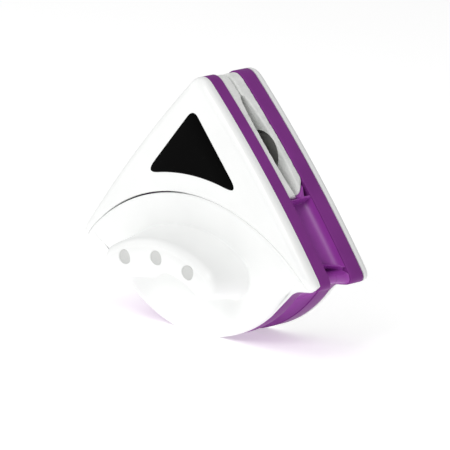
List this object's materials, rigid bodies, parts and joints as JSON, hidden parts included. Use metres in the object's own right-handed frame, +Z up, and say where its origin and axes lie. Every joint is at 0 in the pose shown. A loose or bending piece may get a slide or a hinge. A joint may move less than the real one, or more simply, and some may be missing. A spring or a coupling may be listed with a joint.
{
  "type": "magnetic glass cleaner",
  "caption": "Triangular double-sided magnetic window cleaner: hand unit with crescent grip and matching outer unit, cleaning pads and wipers between.",
  "frame": {"origin": "middle of the bounding box at the foot of the round bulge, on which the closed cleaner stands", "axes": "+Z up to the apex of the triangle, +X to the right as the grip is seen, +Y from the hand unit to the outer unit"},
  "size_m": [0.1264, 0.0566, 0.1014],
  "materials": {
    "white_shell": "moulded ABS, near-white, soft gloss",
    "purple_tray": "moulded ABS, purple, satin",
    "purple_wiper": "soft moulded rubber in the tray's purple",
    "name_plate": "polished black inlay, blank",
    "grip_dot": "light grey inserts, dished",
    "pad_fabric": "white short-pile microfibre",
    "pad_foam": "closed-cell foam backing",
    "magnet": "dark grey magnet disc",
    "steel": "zinc-plated steel"
  },
  "bodies": {
    "hand_unit": {"hand_upper_cover": "white_shell", "hand_grip_cover": "white_shell", "grip_dot_left": "grip_dot", "grip_dot_middle": "grip_dot", "grip_dot_right": "grip_dot", "name_plate": "name_plate", "hand_tray": "purple_tray", "hand_wiper": "purple_wiper", "hand_pad": "pad_fabric", "hand_pad_foam": "pad_foam", "hand_yoke": "steel", "hand_magnet_left": "magnet", "hand_magnet_right": "magnet", "hand_magnet_lower": "magnet", "hand_screw_top": "steel", "hand_screw_left": "steel", "hand_screw_right": "steel"},
    "outer_unit": {"outer_cover": "white_shell", "outer_tray": "purple_tray", "outer_wiper": "purple_wiper", "outer_pad": "pad_fabric", "outer_pad_foam": "pad_foam", "outer_yoke": "steel", "outer_magnet_left": "magnet", "outer_magnet_right": "magnet", "outer_magnet_lower": "magnet", "outer_screw_top": "steel", "outer_screw_left": "steel", "outer_screw_right": "steel"}
  },
  "joints": [
    {"name": "glass_gap", "type": "slide", "parent": "hand_unit", "child": "outer_unit", "axis": [0, 1, 0], "range_m": [0, 0.04], "stiffness_N_per_m": 200, "springref_m": -0.05}
  ]
}
